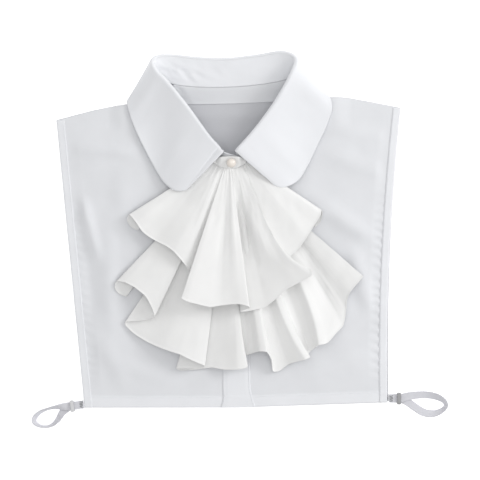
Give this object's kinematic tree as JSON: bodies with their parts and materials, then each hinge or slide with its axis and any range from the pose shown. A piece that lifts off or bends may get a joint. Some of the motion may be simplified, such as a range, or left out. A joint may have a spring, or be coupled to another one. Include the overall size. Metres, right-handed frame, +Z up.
{
  "type": "detachable ruffled collar",
  "caption": "False shirt front laid flat, with a turned-down round-tipped collar, a tiered ruffled jabot under a pearl button and an elastic strap loop at each lower corner.",
  "frame": {"origin": "centre of the bounding box in plan, on the surface that the garment lies on", "axes": "+X to the viewer's right across the shoulders and strap loops, +Y up the garment to the neck, +Z up from the surface"},
  "size_m": [0.4157, 0.3765, 0.0328],
  "materials": {
    "back_panel": "matt woven cotton",
    "front_left": "matt woven cotton",
    "front_right": "matt woven cotton",
    "side_band_left": "matt woven cotton",
    "side_band_right": "matt woven cotton",
    "placket": "matt woven cotton",
    "collar_stand": "matt woven cotton",
    "collar_leaf": "matt woven cotton",
    "neck_facing": "matt woven cotton",
    "jabot_lower_tier": "matt fine cloth",
    "jabot_upper_tier": "matt fine cloth",
    "jabot_tab": "matt fine cloth",
    "pearl_button": "pearl lacquer",
    "strap_left": "ribbed elastic webbing",
    "slider_left": "moulded plastic",
    "strap_right": "ribbed elastic webbing",
    "slider_right": "moulded plastic"
  },
  "bodies": {
    "root": {"back_panel": "back_panel", "front_left": "front_left", "front_right": "front_right", "side_band_left": "side_band_left", "side_band_right": "side_band_right", "placket": "placket", "collar_stand": "collar_stand", "collar_leaf": "collar_leaf", "neck_facing": "neck_facing", "jabot_lower_tier": "jabot_lower_tier", "jabot_upper_tier": "jabot_upper_tier", "jabot_tab": "jabot_tab", "pearl_button": "pearl_button", "strap_left": "strap_left", "slider_left": "slider_left", "strap_right": "strap_right", "slider_right": "slider_right"}
  },
  "joints": []
}
